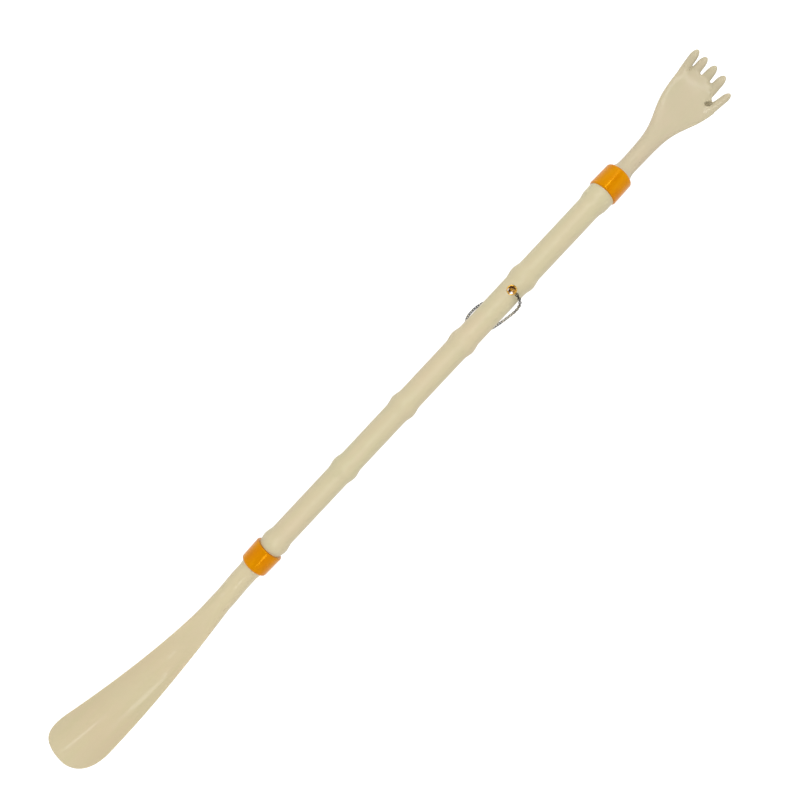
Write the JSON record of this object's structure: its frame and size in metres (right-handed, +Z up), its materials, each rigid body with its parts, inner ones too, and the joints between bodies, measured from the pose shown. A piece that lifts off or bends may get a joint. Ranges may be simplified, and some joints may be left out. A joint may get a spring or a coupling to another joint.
{
  "type": "back scratcher",
  "caption": "Bamboo-style moulded plastic back scratcher with a curled hand at one end, a long dished shoehorn blade at the other, orange collars and a chain loop to hang it by.",
  "frame": {"origin": "under the middle of the part's length and width, on the surface that it lies on", "axes": "+X along the handle towards the hand, +Z up, the way the palm and the blade's dish face, +Y to the little finger's side"},
  "size_m": [0.5569, 0.0379, 0.02],
  "materials": {
    "ivory_plastic": "gloss, moulded",
    "orange_plastic": "high gloss",
    "eyelet_brass": "polished",
    "chain_nickel": "bright nickel plate"
  },
  "bodies": {
    "scratcher": {"bamboo_handle": "ivory_plastic", "scratcher_hand": "ivory_plastic", "hand_collar": "orange_plastic", "blade_collar": "orange_plastic", "shoehorn_blade": "ivory_plastic", "front_eyelet": "eyelet_brass", "rear_eyelet": "eyelet_brass"},
    "chain": {"joining_link": "chain_nickel", "chain_run_1": "chain_nickel", "chain_run_2": "chain_nickel", "chain_run_3": "chain_nickel", "chain_run_4": "chain_nickel", "chain_run_5": "chain_nickel", "chain_run_6": "chain_nickel", "chain_run_7": "chain_nickel", "chain_run_8": "chain_nickel", "chain_run_9": "chain_nickel", "chain_run_10": "chain_nickel", "chain_run_11": "chain_nickel", "chain_run_12": "chain_nickel", "chain_run_13": "chain_nickel", "chain_run_14": "chain_nickel", "chain_run_15": "chain_nickel", "chain_run_16": "chain_nickel", "chain_run_17": "chain_nickel"}
  },
  "joints": [
    {"name": "chain_swivel", "type": "hinge", "parent": "scratcher", "child": "chain", "pos_m": [0.1156, -0.00276, 0.0092], "axis": [0, 0, 1], "range_deg": [-10, 45]}
  ]
}
